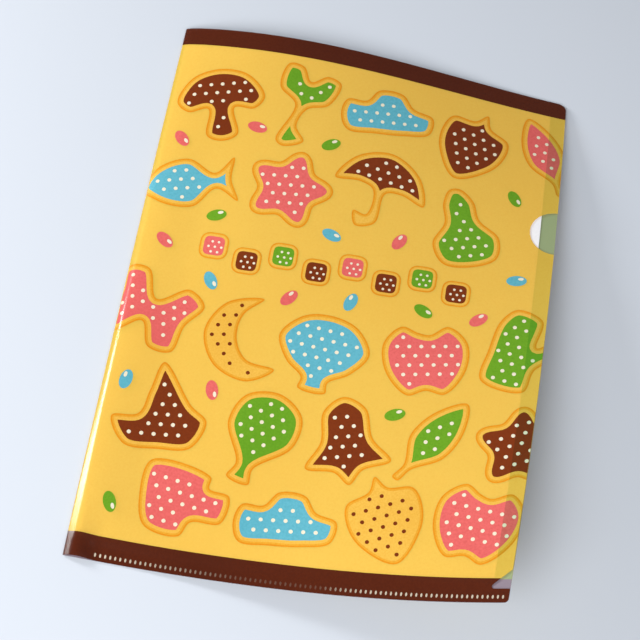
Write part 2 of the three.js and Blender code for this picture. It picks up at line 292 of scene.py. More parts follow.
@dataclass(frozen=True)
class OfficePaper:
    """Uncoated copier paper: matt white with a soft fibre mottle about a millimetre wide."""

    name: str = "office_paper"
    colour: str = "f1f0f2"
    shade: str = "e4e3e6"
    roughness: float = 0.9
    specular: float = 0.2
    mottle_mm: float = 1.5
    fibre_depth_mm: float = 0.02

    def build(self) -> bpy.types.Material:
        """Makes the material.

        Returns:
            The new material.
        """
        material, tree = new_material(self.name)
        place = add_node(tree, "ShaderNodeTexCoord").outputs["Object"]
        mottle = add_node(tree, "ShaderNodeTexNoise", {"Scale": 1 / (self.mottle_mm * METRE), "Detail": 5.0},
                          Vector=place)
        stops = ((0.0, linear(self.shade)), (1.0, linear(self.colour)))
        colour = add_node(tree, "ShaderNodeValToRGB", {"stops": stops}, Fac=mottle.outputs["Fac"])
        bump = add_node(tree, "ShaderNodeBump", {"Strength": 0.5, "Distance": self.fibre_depth_mm * METRE},
                        Height=mottle.outputs["Fac"])
        shader = add_node(tree, "ShaderNodeBsdfPrincipled", {
            "Roughness": self.roughness, "Specular IOR Level": self.specular,
        }, Base_Color=colour.outputs["Color"], Normal=bump.outputs["Normal"])
        add_node(tree, "ShaderNodeOutputMaterial", None, Surface=shader.outputs[0])
        return material


@dataclass(frozen=True)
class FloorCard:
    """Matt pale card, which gives soft shadows and no reflection."""

    name: str = "floor_card"
    colour: str = "cbd1da"
    roughness: float = 0.9
    specular: float = 0.1

    def build(self) -> bpy.types.Material:
        """Makes the material.

        Returns:
            The new material.
        """
        material, tree = new_material(self.name)
        shader = add_node(tree, "ShaderNodeBsdfPrincipled", {
            "Base Color": linear(self.colour), "Roughness": self.roughness,
            "Specular IOR Level": self.specular,
        })
        add_node(tree, "ShaderNodeOutputMaterial", None, Surface=shader.outputs[0])
        return material


# The painted shade multiplied into a motif's ink where no paper lies behind it, which darkens and tints it
# there, and each ink's colour and its grain's shade
PAINTED_SHADE_PAST_PAPER = "d9efe2"
MOTIF_INKS: dict[Ink, tuple[str, str]] = {
    Ink.CRUST: ("dc8e1a", "d18114"),
    Ink.CHOCOLATE: ("77300a", "6c2a08"),
    Ink.PINK: ("dc6562", "cf5a56"),
    Ink.GREEN: ("679b20", "5c901a"),
    Ink.BLUE: ("5eabbc", "519fb0"),
    Ink.CREAM: ("e4dcc4", "dcd1b4"),
}
INKS: dict[Ink, PrintedFilm] = {
    Ink.YELLOW: PrintedFilm(Ink.YELLOW.value, "fbd758", "f8d152", opacity=0.55, tint="ffd4a8"),
    Ink.BROWN: PrintedFilm(Ink.BROWN.value, "511c04", "491803", opacity=0.97),
    Ink.BISCUIT: PrintedFilm(Ink.BISCUIT.value, "e3b249", "daa33a", painted_shade_past_paper=PAINTED_SHADE_PAST_PAPER, grain_mm=0.9),
    Ink.TOAST: PrintedFilm(Ink.TOAST.value, "dfa02e", "d59324", painted_shade_past_paper=PAINTED_SHADE_PAST_PAPER, grain_mm=0.9),
    **{ink: PrintedFilm(ink.value, *shades, painted_shade_past_paper=PAINTED_SHADE_PAST_PAPER) for ink, shades in MOTIF_INKS.items()},
}

Finish = PrintedFilm | BareFilm | WeldMark | OfficePaper | FloorCard
MATERIALS: dict[str, bpy.types.Material] = {}


def material_of(finish: Finish) -> bpy.types.Material:
    """Gives a finish's material, made once.

    Args:
        finish: The finish.

    Returns:
        Its material.
    """
    if finish.name not in MATERIALS:
        MATERIALS[finish.name] = finish.build()
    return MATERIALS[finish.name]


# The bend of the lying folder


def eased(share: np.ndarray) -> np.ndarray:
    """Keeps a share between 0 and 1, and makes it start and end gently.

    Args:
        share: Values that grow evenly.

    Returns:
        The eased share.
    """
    held = np.clip(share, 0, 1)
    return held * held * (3 - 2 * held)


@dataclass
class Bend:
    """The lying folder's bend, straight from the bottom edge to the top edge.

    Places are given as u from the fold, v up from the bottom edge and w up from the back face.
    """

    width: float = 220.0
    height: float = 310.0
    film: float = FILM
    pocket: float = POCKET
    top_bow: float = 12.0
    corner_lift: float = 52.0
    flat_length: float = 28.0
    lift_power: float = 1.8
    weld_gap: float = 0.1
    weld_strip: float = 4.5
    weld_slope: float = 7.0
    curl_slope: float = 0.6
    curl_straight: float = 1.7
    curl_length: float = 5.5
    curl_return: float = 28.0
    curl_fade: float = 32.0
    curl_top: float = 0.25
    curl_level: float = 190.0
    curl_samples: int = 91
    corner_growth: float = 1.5
    corner_length: float = 17.0
    weld_start: float = 18.0
    margin: int = 8
    probe_u: int = 2
    probe_v: int = 5
    shift: Vector = field(default_factory=lambda: Vector((0.0, 0.0, 0.0)))

    def __post_init__(self) -> None:
        """Works out the bent sheet at every millimetre."""
        self.thickness = self.pocket + 2 * self.film
        self.fold_radius = self.thickness / 2
        u = np.arange(-self.margin, self.width + self.margin + 1)
        v = np.arange(-self.margin, self.height + self.margin + 1)
        t = u / self.width
        # This hump is 1 high, a third of the way from the fold.
        hump = 27 / 4 * t * (1 - t) ** 2
        top = self.top_bow * hump
        reach = np.maximum(0, u - self.flat_length) / (self.width - self.flat_length)
        bottom = self.corner_lift * reach ** self.lift_power
        share = (v / self.height)[:, None]
        z = share * top + (1 - share) * bottom
        run = np.zeros_like(z)
        run[:, 1:] = np.cumsum(np.sqrt(1 - np.diff(z, axis=1) ** 2), axis=1)
        middle = int(self.width / 2) + self.margin
        run -= run[:, middle : middle + 1]
        shrink = np.sqrt(1 - ((top - bottom) / self.height) ** 2)
        y = (v - self.height / 2)[:, None] * shrink
        self.points = np.stack([run, y, z], -1)
        normals = np.cross(np.gradient(self.points, axis=1), np.gradient(self.points, axis=0))
        self.normals = normals / np.linalg.norm(normals, axis=-1, keepdims=True)

    def weld_share(self, u: np.ndarray, v: np.ndarray, slope_length: float) -> np.ndarray:
        """How far the weld holds the front down: 1 over it, 0 beside the fold and past its slope."""
        return eased((self.weld_strip + slope_length - v) / slope_length) * eased(u / self.weld_start)

    def curl(self, u: np.ndarray, v: np.ndarray) -> np.ndarray:
        """How far the front springs up beside the fold, because the film won't lie sharp there.

        The curl is wider at the bottom corner, where the weld stops short of the fold, and dies away
        towards the top corner.

        Args:
            u: Places from the fold.
            v: Places up from the bottom edge.

        Returns:
            The rise at each place.
        """
        growth = 1 + self.corner_growth * np.exp(-np.maximum(v, 0) / self.corner_length)
        fine = np.linspace(0, self.curl_length, self.curl_samples)
        flattening = (fine - self.curl_straight) / (self.curl_length - self.curl_straight)
        slope = self.curl_slope * (1 - eased(flattening))
        rise = np.concatenate([[0.0], np.cumsum((slope[1:] + slope[:-1]) / 2 * np.diff(fine))])
        own = u / growth
        spent = eased((own - self.curl_length) / self.curl_return)
        strength = 1 - (1 - self.curl_top) * eased((v - self.curl_level) / (self.height - self.curl_level))
        return strength * growth * np.interp(own, fine, rise) * (1 - spent)

    def place(self, flat: np.ndarray) -> np.ndarray:
        """Bends points of the flat folder.

        Args:
            flat: Rows of u, v and w.

        Returns:
            The places in metres, in the part's own frame.
        """
        u, v, w = flat.T
        closing = np.clip((w - self.film) / self.pocket, 0, 1)
        pressed = (self.pocket - self.weld_gap) * self.weld_share(u, v, self.weld_slope)
        sprung = self.curl(u, v) * (1 - self.weld_share(u, v, self.curl_fade))
        lift = w + closing * (sprung - pressed)
        rows, columns = self.points.shape[:2]
        column, row = u + self.margin, v + self.margin
        i = np.clip(column.astype(int), 0, columns - 2)
        j = np.clip(row.astype(int), 0, rows - 2)
        a, b = (column - i)[:, None], (row - j)[:, None]

        def between(values: np.ndarray) -> np.ndarray:
            """Reads the grid between its points.

            Args:
                values: A vector at every grid point.

            Returns:
                The vector at each place.
            """
            low = values[j, i] * (1 - a) + values[j, i + 1] * a
            high = values[j + 1, i] * (1 - a) + values[j + 1, i + 1] * a
            return low * (1 - b) + high * b

        bent = between(self.points) + between(self.normals) * lift[:, None]
        return bent * METRE + np.array(self.shift)

    def on_front(self, u: float, v: float, turn: float = 0.0) -> Matrix:
        """Finds the place of a print on the flat front, turned by some degrees about its middle."""
        level = self.thickness + INK_RISE
        return Matrix.Translation((u, v, level)) @ Matrix.Rotation(math.radians(turn), 4, "Z")

    def settle(self, node: str) -> None:
        """Moves the bend so that it lies where a CAD node lies.

        Args:
            node: The node's name.
        """
        low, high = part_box(node)
        corners = np.array([(u, v, 0.0) for u in range(0, int(self.width) + 1, self.probe_u)
                            for v in range(0, int(self.height) + 1, self.probe_v)])
        bent = self.place(corners)
        middle = (bent.min(0) + bent.max(0)) / 2
        target = [(low[axis] + high[axis]) / 2 for axis in (0, 1)]
        self.shift += Vector((target[0] - middle[0], target[1] - middle[1], low[2]))


def place_mesh(bm: bmesh.types.BMesh, bend: Bend) -> None:
    """Bends a mesh and keeps its places in the flat folder, in metres, as its UV map.

    Args:
        bm: A mesh of the flat folder, in millimetres.
        bend: The bend.
    """
    layer = bm.loops.layers.uv.new(FLAT_MAP)
    for face in bm.faces:
        for loop in face.loops:
            loop[layer].uv = loop.vert.co.xy * METRE
    bent = bend.place(np.array([vertex.co[:] for vertex in bm.verts]))
    for vertex, place in zip(bm.verts, bent):
        vertex.co = place


class Way(Enum):
    """The two ways in which the flat folder is measured."""

    ACROSS = (1, 0, 0)
    UP = (0, 1, 0)


def cut_lines(bm: bmesh.types.BMesh, way: Way, places: list[float], **cleared: bool) -> None:
    """Cuts all faces along straight lines, so that they can bend or end there.

    Args:
        bm: A flat mesh.
        way: The way across the lines.
        places: How far along that way the lines lie.
        cleared: clear_outer drops what lies past a line, and clear_inner what lies before it.
    """
    normal = Vector(way.value)
    for place in places:
        everything = bm.verts[:] + bm.edges[:] + bm.faces[:]
        bmesh.ops.bisect_plane(bm, geom=everything, dist=TOUCH, plane_co=normal * place, plane_no=normal,
                               **cleared)


def steps(start: float, stop: float, size: float) -> list[float]:
    """Even steps between two values.

    Args:
        start: The first value.
        stop: The last value.
        size: About how far apart the steps are.

    Returns:
        The values between the two, which are both left out.
    """
    count = max(1, round((stop - start) / size))
    return [start + (stop - start) * i / count for i in range(1, count)]


def face_up(bm: bmesh.types.BMesh) -> None:
    """Turns the faces of a flat mesh that look down.

    Args:
        bm: A flat mesh.
    """
    for face in bm.faces:
        face.normal_update()
        if face.normal.z < 0:
            face.normal_flip()


def thicken(bm: bmesh.types.BMesh, depth: float) -> None:
    """Turns flat faces that look up into a closed plate below them.

    Args:
        bm: A flat mesh.
        depth: The plate's thickness.
    """
    made = bmesh.ops.extrude_face_region(bm, geom=bm.faces[:], use_keep_orig=True)
    moved = [item for item in made["geom"] if isinstance(item, bmesh.types.BMVert)]
    bmesh.ops.translate(bm, verts=moved, vec=(0, 0, -depth))
    bmesh.ops.recalc_face_normals(bm, faces=bm.faces)


def finish_piece(bm: bmesh.types.BMesh, bend: Bend, name: str, finishes: list[Finish],
                 nodes: list[str]) -> None:
    """Bends a mesh and makes it a piece of the scene.

    Args:
        bm: A mesh of the flat folder, in millimetres.
        bend: The bend.
        name: The piece's name.
        finishes: Its finishes, by the faces' material number.
        nodes: The CAD nodes that it stands for.
    """
    place_mesh(bm, bend)
    limit = math.radians(SHARP_DEGREES)
    for face in bm.faces:
        face.smooth = True
    for edge in bm.edges:
        edge.smooth = len(edge.link_faces) == 2 and edge.calc_face_angle(0.0) < limit
    mesh = bpy.data.meshes.new(name)
    bm.to_mesh(mesh)
    bm.free()
    for finish in finishes:
        mesh.materials.append(material_of(finish))
    piece = bpy.data.objects.new(name, mesh)
    bpy.context.collection.objects.link(piece)
    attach(piece, BODY)
    if nodes:
        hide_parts(*nodes)
    LOG.info("%s: %d faces", name, len(mesh.polygons))


# The folder's film


class FilmSide(IntEnum):
    """The film's surfaces, by the number of their material."""

    YELLOW = 0
    BAND = 1
    FRONT_INSIDE = 2
    BACK_INSIDE = 3
    BAND_INSIDE = 4


@dataclass
class FolderFilm:
    """One blank of film, die-cut flat, printed, folded over and welded."""

    bend: Bend
    top_corner: float = 4.5
    bottom_corner: float = 2.0
    thumb_radius: float = 14.0
    thumb_height: float = 218.0
    relief_depth: float = 9.0
    relief_bottom: float = 7.0
    relief_top: float = 17.0
    relief_round: float = 1.2
    relief_turn: tuple[float, float] = (270.0, 125.0)
    top_band: float = 10.8
    bottom_band: float = 12.2
    cell_u: float = 4.0
    cell_v: float = 3.5
    corner_cell: float = 1.0
    curl_cell: float = 0.5
    weld_cell: float = 0.6
    weld_cuts: tuple[float, ...] = (1.5, 3.0)
    fold_cuts: int = 6
    arc_steps: int = 16
    inward: float = -0.5
    front_clear: BareFilm = BareFilm("film_inside_front", "eef0dc", 0.05)
    back_milky: BareFilm = BareFilm("film_inside_back", "94a67c", 0.85)
    back_banded: BareFilm = BareFilm("film_inside_band", "8d7f8b", 0.9)

    def half_fold(self) -> float:
        """Measures the film from the fold's middle line to where the sheet lies flat."""
        return math.pi / 2 * (self.bend.fold_radius - self.bend.film / 2)

    def flat_edge(self) -> float:
        """Measures the blank from the fold line to its open edge."""
        return self.bend.width - self.bend.fold_radius + self.half_fold()

    def arc(self, x: float, y: float, radius: float, start: float, stop: float) -> list[Vector]:
        """Draws an arc.

        Args:
            x: The centre's distance from the fold line.
            y: The centre's height.
            radius: Its radius.
            start: Its first angle in degrees.
            stop: Its last angle in degrees.

        Returns:
            Points along the arc.
        """
        turn = (stop - start) / self.arc_steps
        angles = [math.radians(start + turn * i) for i in range(self.arc_steps + 1)]
        return [Vector((x + radius * math.cos(a), y + radius * math.sin(a), 0)) for a in angles]

    def blank_outline(self) -> list[Vector]:
        """Draws the flat blank: the front to the right of the fold line, the back to its left.

        Returns:
            The blank's outline.
        """
        edge, height = self.flat_edge(), self.bend.height
        low, high, inner = self.bottom_corner, self.top_corner, self.relief_round
        return [
            *self.arc(edge - low, low, low, -90, 0),
            Vector((edge, self.relief_bottom, 0)),
            *self.arc(edge - self.relief_depth + inner, self.relief_bottom + inner, inner, *self.relief_turn),
            Vector((edge, self.relief_top, 0)),
            *self.arc(edge, self.thumb_height, self.thumb_radius, 270, 90),
            *self.arc(edge - high, height - high, high, 0, 90),
            *self.arc(high - edge, height - high, high, 90, 180),
            *self.arc(low - edge, low, low, 180, 270),
        ]

    def fold(self, blank: np.ndarray) -> np.ndarray:
        """Folds points of the flat blank to u, v and w.

        Args:
            blank: Rows of the distance from the fold line, the height up the sheet and the height over
                the film's outer face.

        Returns:
            Rows of u, v and w.
        """
        along, v, over = blank.T
        radius = self.bend.fold_radius
        half = self.half_fold()
        angle = math.pi / 2 * np.clip(along / half, -1, 1)
        past = np.maximum(np.abs(along) - half, 0)
        reach = radius + over
        u = radius - reach * np.cos(angle) + past
        w = radius + reach * np.sin(angle)
        return np.stack([u, v, w], -1)

    def make(self) -> None:
        """Cuts, prints, folds and bends the film."""
        bm = bmesh.new()
        bm.faces.new([bm.verts.new(point) for point in self.blank_outline()])
        face_up(bm)
        half = self.half_fold()
        curled = half + 2 * self.bend.curl_length
        freed = 2 * self.bend.weld_start
        near = [half * i / self.fold_cuts for i in range(1, self.fold_cuts + 1)]
        near += steps(half, curled, self.curl_cell) + [curled]
        far = steps(curled, freed, self.corner_cell) + [freed] + steps(freed, self.flat_edge(), self.cell_u)
        cut_lines(bm, Way.ACROSS, [0.0] + near + far + [-place for place in near + far])
        weld_top = self.bend.weld_strip + self.bend.weld_slope
        low = steps(self.bend.weld_strip - self.weld_cell, weld_top + self.weld_cell, self.weld_cell)
        bands = [self.bottom_band, self.bend.height - self.top_band]
        cut_lines(bm, Way.UP, [*self.weld_cuts] + low + steps(*bands, self.cell_v) + bands)
        thicken(bm, self.bend.film)
        self.paint(bm)
        flat = self.fold(np.array([vertex.co[:] for vertex in bm.verts]))
        for vertex, place in zip(bm.verts, flat):
            vertex.co = place
        finishes = [INKS[Ink.YELLOW], INKS[Ink.BROWN], self.front_clear, self.back_milky, self.back_banded]
        finish_piece(bm, self.bend, "folder_film_printed", finishes,
                     ["folder_film", "top_band", "bottom_band"])

    def paint(self, bm: bmesh.types.BMesh) -> None:
        """Gives each face of the flat blank its material: print outside and on the cuts, bare film inside.

        Args:
            bm: The blank, thickened.
        """
        for face in bm.faces:
            centre = face.calc_center_median()
            banded = centre.y < self.bottom_band or centre.y > self.bend.height - self.top_band
            # A face that looks down on the flat blank looks into the folder once it is folded.
            if face.normal.z > self.inward:
                face.material_index = FilmSide.BAND if banded else FilmSide.YELLOW
            elif centre.x > 0:
                face.material_index = FilmSide.FRONT_INSIDE
            else:
                face.material_index = FilmSide.BAND_INSIDE if banded else FilmSide.BACK_INSIDE


@dataclass
class WeldDots:
    """The row of welded dots along the bottom edge, each pressed in by a heated tooth."""

    bend: Bend
    pitch: float = 2.49
    width: float = 1.0
    length: float = 2.0
    centre: float = 2.8
    fold_margin: float = 15.0
    open_margin: float = 2.8
    layer: float = INK_LAYER
    segments: int = 10

    def make(self) -> None:
        """Makes the row of dots as thin rounded plates."""
        bm = bmesh.new()
        span = self.bend.width - self.fold_margin - self.open_margin
        for i in range(int(span / self.pitch) + 1):
            u = self.bend.width - self.open_margin - i * self.pitch
            place = self.bend.on_front(u, self.centre)
            scale = Matrix.Diagonal((self.width / 2, self.length / 2, 1, 1))
            bmesh.ops.create_circle(bm, cap_ends=True, radius=1.0, segments=self.segments,
                                    matrix=place @ scale)
        face_up(bm)
        thicken(bm, self.layer / 2)
        finish_piece(bm, self.bend, "weld_dots", [WeldMark(self.bend.width)], [])


@dataclass
class PaperInsert:
    """One sheet of A4 paper that rests in the pocket."""

    bend: Bend
    width: float = PAPER_WIDTH
    height: float = 297.0
    thickness: float = 0.1
    clearance: float = 0.3
    fold_gap: float = PAPER_FOLD_GAP
    weld_rise: float = 4.0
    weld_gap: float = 1.0
    cell: float = 6.0

    def make(self) -> None:
        """Makes the sheet, bent with the folder."""
        left = self.bend.fold_radius + self.fold_gap
        bottom = self.bend.weld_strip + self.weld_rise + self.weld_gap
        top = self.bend.film + self.clearance + self.thickness
        bm = bmesh.new()
        place = Matrix.Translation((left + self.width / 2, bottom + self.height / 2, top))
        scale = Matrix.Diagonal((self.width / 2, self.height / 2, 1, 1))
        bmesh.ops.create_grid(bm, x_segments=round(self.width / self.cell),
                              y_segments=round(self.height / self.cell), size=1.0, matrix=place @ scale)
        thicken(bm, self.thickness)
        finish_piece(bm, self.bend, "paper_sheet", [OfficePaper()], ["paper_insert"])


# The print


def smooth_outline(points: list[tuple[float, float]]) -> list[Vector]:
    """Closed centripetal Catmull-Rom curve through points, at the motifs' scale.

    Args:
        points: The points that the curve passes.

    Returns:
        Places along the curve, as even in the curve's parameter as the points are.
    """
    outline = []
    total = len(points)
    for k in range(SMOOTH_PLACES):
        at = k / SMOOTH_PLACES * total
        i = int(at)
        p = [Vector((*points[(i + j) % total], 0)) for j in (-1, 0, 1, 2)]
        knots = [0.0]
        for j in range(3):
            knots.append(knots[-1] + (p[j + 1] - p[j]).length ** 0.5)
        t = knots[1] + (at - i) * (knots[2] - knots[1])
        first = [(p[j] * (knots[j + 1] - t) + p[j + 1] * (t - knots[j])) / (knots[j + 1] - knots[j])
                 for j in range(3)]
        second = [(first[j] * (knots[j + 2] - t) + first[j + 1] * (t - knots[j])) / (knots[j + 2] - knots[j])
                  for j in range(2)]
        place = (second[0] * (knots[2] - t) + second[1] * (t - knots[1])) / (knots[2] - knots[1])
        outline.append(place * MOTIF_SCALE)
    return outline


def evenly(outline: list[Vector], pitch: float) -> list[Vector]:
    """Takes places along a closed outline at an even pitch.

    Args:
        outline: The outline.
        pitch: About how far apart the places are.

    Returns:
        The places.
    """
    corners = np.array([point[:2] for point in outline + outline[:1]])
    lengths = np.concatenate([[0.0], np.cumsum(np.linalg.norm(np.diff(corners, axis=0), axis=1))])
    count = round(lengths[-1] / pitch)
    at = np.arange(count) * lengths[-1] / count
    return [Vector((x, y, 0)) for x, y in zip(np.interp(at, lengths, corners[:, 0]),
                                              np.interp(at, lengths, corners[:, 1]))]


def signed_area(outline: list[Vector]) -> float:
    """Measures the area in an outline.

    Args:
        outline: A closed outline.

    Returns:
        The area, positive where the outline runs anticlockwise.
    """
    pairs = zip(outline, outline[1:] + outline[:1])
    return sum(a.x * b.y - a.y * b.x for a, b in pairs) / 2


def shrunk(outline: list[Vector], distance: float) -> list[list[Vector]]:
    """Outlines that keep a distance inside an outline.

    A neck narrower than twice the distance parts the shape in two, as it parts icing on a biscuit.

    Args:
        outline: A closed outline that runs anticlockwise.
        distance: The distance kept from it.

    Returns:
        One closed outline for each part.
    """
    line = np.array([point[:2] for point in evenly(outline, SHRINK_PITCH)])
    tangent = np.roll(line, -1, axis=0) - np.roll(line, 1, axis=0)
    tangent /= np.linalg.norm(tangent, axis=1, keepdims=True)
    moved = line + distance * np.stack([-tangent[:, 1], tangent[:, 0]], -1)
    gaps = np.linalg.norm(moved[:, None] - line[None], axis=2).min(axis=1)
    kept = gaps > distance * SHRINK_SHARE - SHRINK_SLACK
    if kept.all():
        return [[Vector((*place, 0)) for place in moved]]
    count = len(line)
    arcs = []
    for start in (i for i in range(count) if kept[i] and not kept[i - 1]):
        length = next(n for n in range(count) if not kept[(start + n) % count])
        arcs.append([moved[(start + n) % count] for n in range(length)])
    loops = []
    while arcs:
        loop = arcs.pop(0)
        while arcs:
            ways = [np.linalg.norm(loop[-1] - arc[0]) for arc in arcs]
            best = int(np.argmin(ways))
            if np.linalg.norm(loop[-1] - loop[0]) <= ways[best]:
                break
            loop += arcs.pop(best)
        loops.append([Vector((*place, 0)) for place in loop])
    return [loop for loop in loops if signed_area(loop) > LEAST_AREA]


def round_outline(size: float, ripple: float, lobes: int, count: int) -> list[Vector]:
    """Outline of a rippled round.

    Args:
        size: The mean radius.
        ripple: The ripple's share of the radius, negative to turn it by half a lobe.
        lobes: How many lobes it has.
        count: How many places of the outline are given back.

    Returns:
        Places along the outline.
    """
    angles = [2 * math.pi * i / count for i in range(count)]
    radii = [size * (1 + ripple * math.cos(lobes * angle)) for angle in angles]
    return [Vector((radius * math.cos(angle), radius * math.sin(angle), 0))
            for radius, angle in zip(radii, angles)]


# Measured along a motif's outline: how close its places lie, how near to the wanted distance a place
# must keep, and the least area of a part that is printed
SHRINK_PITCH = 0.5
SHRINK_SHARE = 0.985
SHRINK_SLACK = 0.02
LEAST_AREA = 14.0

MOTIF_SCALE = 1.2
SMOOTH_PLACES = 96

# The mean radius, the ripple's share of it, the lobes and the number of places
ROUND_MOTIFS: dict[str, tuple[float, float, int, int]] = {
    "flower": (20.4, 0.17, 5, 80),
    "tile": (8.2, -0.07, 4, 48),
}

SMOOTH_MOTIFS: dict[str, list[tuple[float, float]]] = {
    "leaf": [(0, 22), (8, 10), (9, -4), (2, -16), (1, -23), (-2, -23), (-2, -16), (-9, -4), (-8, 10)],
    "moon": [(8, 18), (-8, 17), (-18, 4), (-14, -12), (0, -20), (12, -15), (0, -10), (-4, 0), (-1, 11)],
    "cloud": [(20, -7), (22, 2), (13, 6), (8, 13), (-3, 14), (-9, 8), (-18, 8), (-21, 0), (-18, -8), (-5, -9),
              (8, -9)],
    "apple": [(2, 12), (10, 16), (18, 8), (17, -6), (8, -17), (0, -15), (-8, -17), (-17, -6), (-18, 8),
              (-10, 16), (-3, 13)],
    "pear": [(2, 19), (7, 12), (8, 2), (15, -8), (12, -19), (0, -22), (-12, -19), (-15, -8), (-8, 2),
             (-7, 12), (-3, 19)],
    "mushroom": [(0, 19), (13, 15), (20, 3), (15, -3), (6, -2), (7, -16), (0, -19), (-7, -16), (-6, -2),
                 (-15, -3), (-20, 3), (-13, 15)],
    "fish": [(-22, 0), (-14, 9), (0, 12), (11, 4), (20, 11), (18, 0), (20, -11), (11, -4), (0, -12),
             (-14, -9)],
    "butterfly": [(0, 6), (10, 17), (20, 13), (17, 1), (18, -12), (8, -15), (0, -6), (-8, -15), (-18, -12),
                  (-17, 1), (-20, 13), (-10, 17)],
    "tulip": [(0, 14), (6, 20), (13, 19), (12, 6), (4, 0), (3, -10), (9, -16), (1, -22), (-3, -20), (-2, 0),
              (-12, 6), (-13, 19), (-6, 20)],
    "acorn": [(0, 20), (4, 14), (14, 11), (16, 3), (13, -8), (0, -20), (-13, -8), (-16, 3), (-14, 11),
              (-4, 14)],
    "umbrella": [(0, 21), (15, 14), (21, 0), (10, 2), (3, 0), (3, -16), (-5, -20), (-8, -13), (-2, -13),
                 (-3, 0), (-10, 2), (-21, 0), (-15, 14)],
    "mitten": [(-6, 20), (6, 18), (8, 4), (14, 9), (18, 3), (11, -7), (10, -19), (-9, -19), (-11, -4),
               (-11, 12)],
    "boat": [(0, 21), (13, 2), (20, -5), (14, -17), (0, -18), (-14, -17), (-20, -5), (-9, -3), (-5, 8)],
    "bell": [(0, 20), (9, 14), (11, 0), (18, -11), (6, -14), (0, -20), (-6, -14), (-18, -11), (-11, 0),
             (-9, 14)],
    "cup": [(-15, 12), (11, 12), (12, 7), (21, 6), (21, -6), (9, -9), (6, -16), (-9, -16), (-15, -4)],
    "balloon": [(0, 21), (13, 15), (15, 1), (4, -14), (5, -21), (-5, -21), (-4, -14), (-15, 1), (-13, 15)],
    "shell": [(0, 18), (12, 15), (20, 4), (14, -7), (6, -13), (6, -18), (-6, -18), (-6, -13), (-14, -7),
              (-20, 4), (-12, 15)],
}

LAYOUT: list[tuple[str, float, float, float, Ink]] = [
    ("mushroom", 30, 262, 12, Ink.CHOCOLATE),
    ("tulip", 72, 268, -14, Ink.GREEN),
    ("cloud", 120, 272, 8, Ink.BLUE),
    ("acorn", 169, 266, -18, Ink.CHOCOLATE),
    ("leaf", 210, 270, 24, Ink.PINK),
    ("fish", 23, 212, 14, Ink.BLUE),
    ("flower", 75, 217, 6, Ink.PINK),
    ("umbrella", 123, 225, -10, Ink.CHOCOLATE),
    ("pear", 170, 214, 16, Ink.GREEN),
    ("butterfly", 16, 135, -20, Ink.PINK),
    ("moon", 68, 128, 10, Ink.CHOCOLATE),
    ("shell", 108, 126, -6, Ink.BLUE),
    ("apple", 161, 130, 8, Ink.PINK),
    ("mitten", 206, 141, -14, Ink.GREEN),
    ("boat", 32, 83, 6, Ink.CHOCOLATE),
    ("balloon", 84, 76, -16, Ink.GREEN),
    ("bell", 128, 80, 12, Ink.CHOCOLATE),
    ("leaf", 171, 85, -34, Ink.GREEN),
    ("flower", 215, 84, 20, Ink.CHOCOLATE),
    ("cup", 49, 39, -8, Ink.PINK),
    ("cloud", 104, 32, 4, Ink.BLUE),
    ("acorn", 154, 40, 22, Ink.CHOCOLATE),
    ("apple", 199, 41, -12, Ink.PINK),
]


class Layer(IntEnum):
    """A motif's fields of ink from the lowest up, by the number of their material."""

    CRUST = 0
    TOAST = 1
    DOUGH = 2
    ICING = 3
    DOTS = 4


